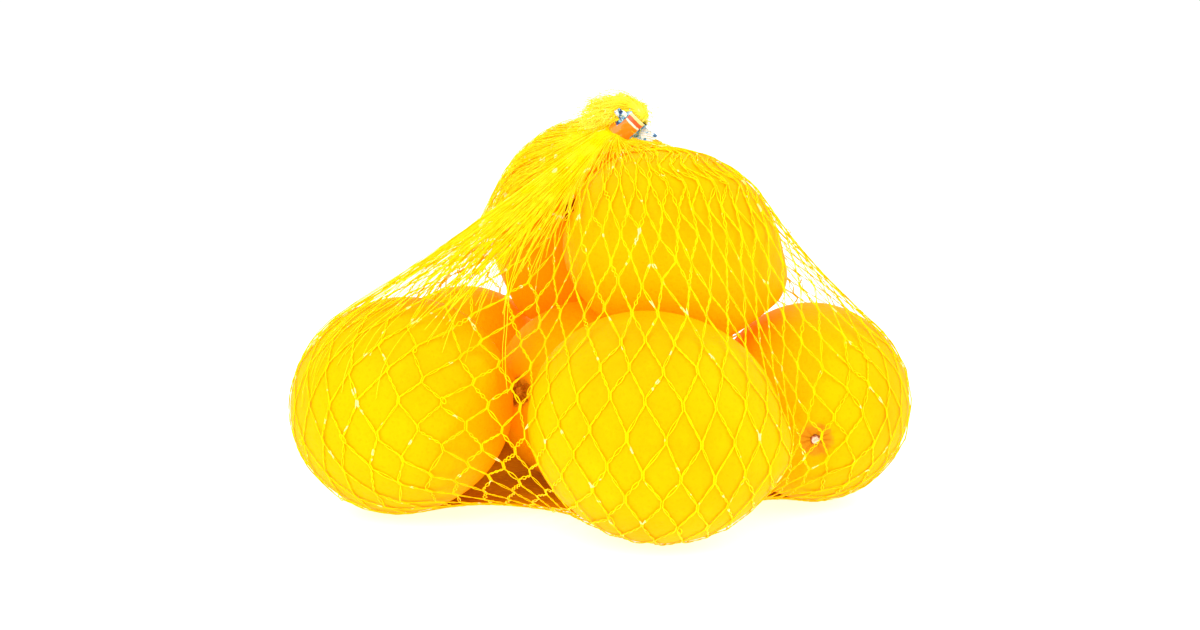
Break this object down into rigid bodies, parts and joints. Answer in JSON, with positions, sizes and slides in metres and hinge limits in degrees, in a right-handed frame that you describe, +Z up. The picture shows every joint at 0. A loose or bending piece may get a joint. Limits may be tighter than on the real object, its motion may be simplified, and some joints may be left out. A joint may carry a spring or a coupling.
{
  "type": "net of lemons",
  "caption": "Open-mesh net bag of whole lemons, taped shut at a gathered neck with a ruffled end, standing as a low heap on its rounded fruit.",
  "frame": {"origin": "centre of the footprint, on the surface the bag rests on", "axes": "+Z up; +X to the right across the widest side; -Y towards the viewer, the side with the foremost lemon"},
  "size_m": [0.182, 0.1638, 0.1206],
  "materials": {
    "lemon_rind": "waxy pebbled fruit skin",
    "net_strand": "glossy knitted plastic filament",
    "lemon_stem": "dry woody stem button",
    "tape_print": "printed film tape in plain colour fields",
    "tape_film": "clear crumpled film"
  },
  "bodies": {
    "root": {"net_bag": "lemon_rind", "neck_tape": "tape_print"}
  },
  "joints": []
}
